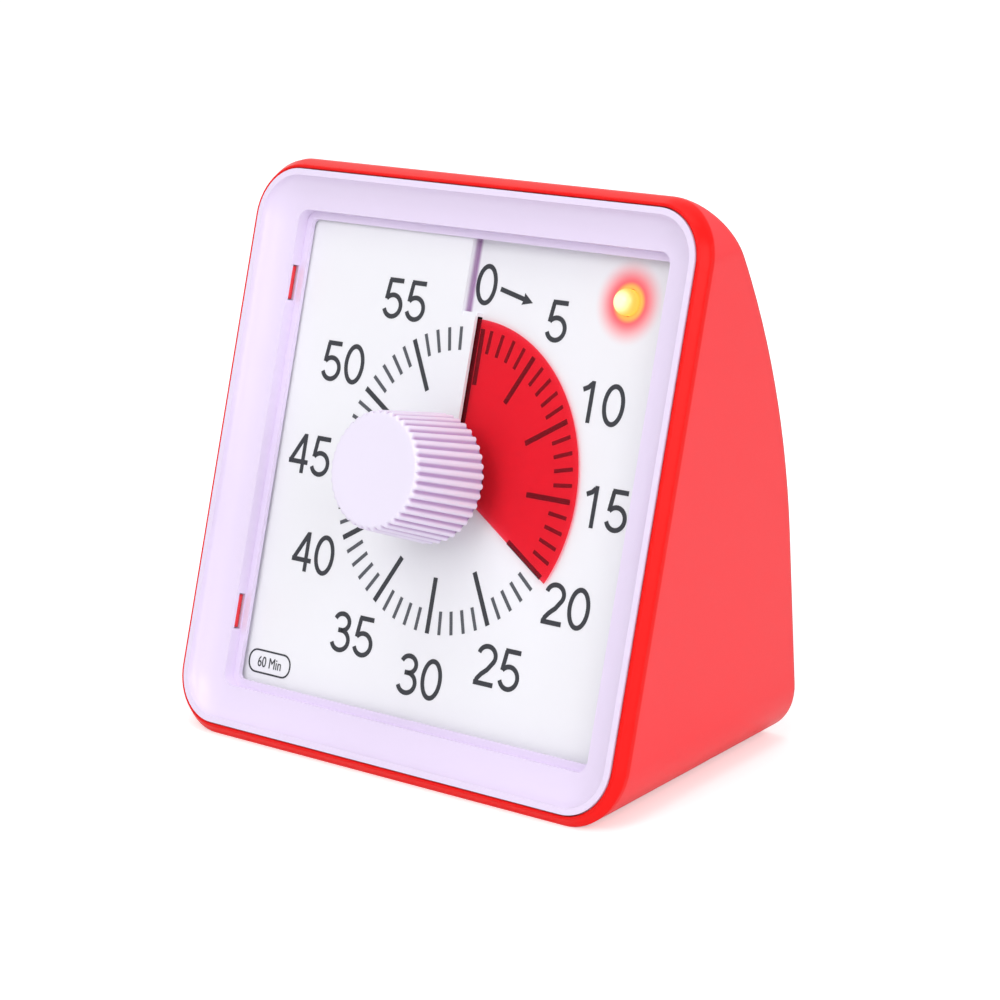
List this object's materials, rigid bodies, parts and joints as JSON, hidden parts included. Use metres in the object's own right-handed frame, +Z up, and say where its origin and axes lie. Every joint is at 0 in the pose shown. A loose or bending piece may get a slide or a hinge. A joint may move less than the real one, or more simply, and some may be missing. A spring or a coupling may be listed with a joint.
{
  "type": "visual countdown timer",
  "caption": "Leaning box-shaped visual timer with a square scooped bezel, a ribbed centre knob and a red film that winds out of a slit in the dial to show the time left.",
  "frame": {"origin": "middle of the flat base, on the surface that it stands on", "axes": "+Z up, the dial faces -Y and leans back, +X to the right as seen from the front"},
  "size_m": [0.085, 0.0431, 0.0791],
  "materials": {
    "red_gloss": "smooth moulded, softly glossy",
    "white_gloss": "smooth moulded",
    "dial_white": "satin, printed",
    "film_red": "thin clear film",
    "black_plastic": "moulded",
    "natural_plastic": "moulded acetal",
    "steel": "plated",
    "magnet": "ferrite",
    "brass": "turned",
    "copper_winding": "enamelled copper",
    "board_green": "solder mask",
    "ceramic": "fired",
    "led_amber": "clear epoxy, lit",
    "nickel": "nickel plated spring strip",
    "cell_jacket": "plain sleeve",
    "lead_red": "insulated wire",
    "lead_black": "insulated wire",
    "lead_white": "insulated wire"
  },
  "bodies": {
    "housing": {"rear_housing": "red_gloss", "front_bezel": "white_gloss", "dial_plate": "dial_white", "mid_frame": "black_plastic", "buzzer_shell": "black_plastic", "controller_chip": "black_plastic", "movement_cover": "natural_plastic", "movement_case": "natural_plastic", "idler_pin": "steel", "motor_can": "steel", "frame_screws": "steel", "board_screws": "steel", "case_screws": "steel", "led_leads": "steel", "timing_crystal": "steel", "switch_can": "steel", "shaft_bush": "brass", "buzzer_disc": "brass", "motor_coil": "copper_winding", "circuit_board": "board_green", "board_passives": "ceramic", "led_lens": "led_amber", "contact_positive": "nickel", "contact_negative": "nickel", "contact_bridge": "nickel", "battery_upper": "cell_jacket", "battery_lower": "cell_jacket", "battery_lead_red": "lead_red", "battery_lead_black": "lead_black", "motor_lead": "lead_white", "switch_lead": "lead_white"},
    "dial_knob": {"knob": "white_gloss", "arbor": "steel", "drive_wheel": "natural_plastic", "clutch_washer": "steel"},
    "film": {"red_film": "film_red", "film_hub": "black_plastic"},
    "idler": {"idler_gear": "natural_plastic"},
    "rotor": {"motor_rotor": "magnet"},
    "door": {"battery_door": "red_gloss"},
    "switch": {"mode_slider": "black_plastic"}
  },
  "joints": [
    {"name": "knob_turn", "type": "hinge", "parent": "housing", "child": "dial_knob", "pos_m": [0, -0.00949, 0.04059], "axis": [0, 0.9397, -0.342], "range_deg": [-120, 240]},
    {"name": "film_climb", "type": "slide", "parent": "dial_knob", "child": "film", "axis": [0, -0.9397, 0.342], "range_m": [-0.0005, 0.001]},
    {"name": "idler_spin", "type": "hinge", "parent": "housing", "child": "idler", "pos_m": [-0.014, 0.00366, 0.0358], "axis": [0, 0.9397, -0.342], "range_deg": [-1450, 730]},
    {"name": "rotor_spin", "type": "hinge", "parent": "housing", "child": "rotor", "pos_m": [-0.014, 0.00964, 0.04639], "axis": [0, 0.9397, -0.342], "range_deg": [-3610, 7210]},
    {"name": "door_swing", "type": "hinge", "parent": "housing", "child": "door", "pos_m": [0, 0.02017, 0.0052], "axis": [-1, 0, 0], "range_deg": [0, 85]},
    {"name": "switch_slide", "type": "slide", "parent": "housing", "child": "switch", "axis": [1, 0, 0], "range_m": [-0.002, 0.002]}
  ],
  "couplings": [
    {"joint": "film_climb", "follows": "knob_turn", "m_per_rad": 0.00023396},
    {"joint": "idler_spin", "follows": "knob_turn", "ratio": -6},
    {"joint": "rotor_spin", "follows": "knob_turn", "ratio": 30}
  ]
}
